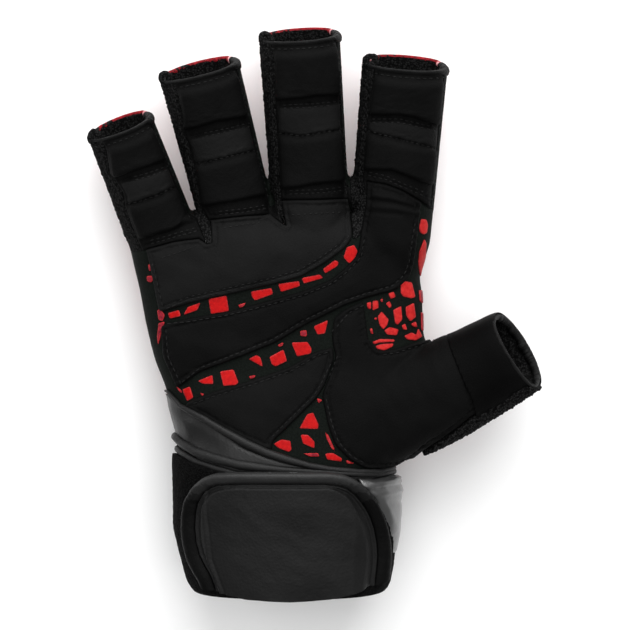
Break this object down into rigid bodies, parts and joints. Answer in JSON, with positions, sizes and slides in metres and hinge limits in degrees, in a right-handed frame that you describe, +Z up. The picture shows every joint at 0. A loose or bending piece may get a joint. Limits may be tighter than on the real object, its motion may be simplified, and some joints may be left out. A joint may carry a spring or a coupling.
{
  "type": "weightlifting glove",
  "caption": "Right-hand weightlifting glove with open fingers, padded leather palm over printed stretch fabric, and a wide wrist wrap closed by a tab.",
  "frame": {"origin": "under the middle of the glove's box, on the surface that it lies on", "axes": "+Y towards the fingertips, +X towards the thumb, +Z up out of the palm"},
  "size_m": [0.1534, 0.1968, 0.051],
  "materials": {
    "printed_fabric": "matt dark stretch fabric with a print of red tiles",
    "suede_leather": "matt black suede",
    "side_knit": "matt black knit",
    "terry_strip": "black looped terry",
    "bound_edge": "satin black rolled edge",
    "smooth_leather": "satin black synthetic leather",
    "loop_fabric": "matt black loop pile"
  },
  "bodies": {
    "root": {"hand_shell": "printed_fabric", "finger_face_little": "suede_leather", "finger_gusset_little": "side_knit", "finger_back_little": "printed_fabric", "finger_hem_little": "bound_edge", "finger_face_ring": "suede_leather", "finger_gusset_ring": "side_knit", "finger_back_ring": "printed_fabric", "finger_hem_ring": "bound_edge", "finger_face_middle": "suede_leather", "finger_gusset_middle": "side_knit", "finger_back_middle": "printed_fabric", "finger_hem_middle": "bound_edge", "finger_face_index": "suede_leather", "finger_gusset_index": "side_knit", "finger_back_index": "printed_fabric", "finger_hem_index": "bound_edge", "thumb_sleeve": "suede_leather", "thumb_hem": "bound_edge", "thumb_terry": "terry_strip", "palm_panel_knuckle": "suede_leather", "palm_panel_sweep": "suede_leather", "palm_panel_heel": "suede_leather", "thumb_panel": "suede_leather", "cuff_binding": "bound_edge", "cuff_leather": "smooth_leather", "wrap_piping_upper": "bound_edge", "wrap_piping_lower": "bound_edge", "wrist_wrap": "loop_fabric", "strap_leather": "smooth_leather", "tab_panel": "smooth_leather", "tab_binding": "bound_edge"}
  },
  "joints": []
}
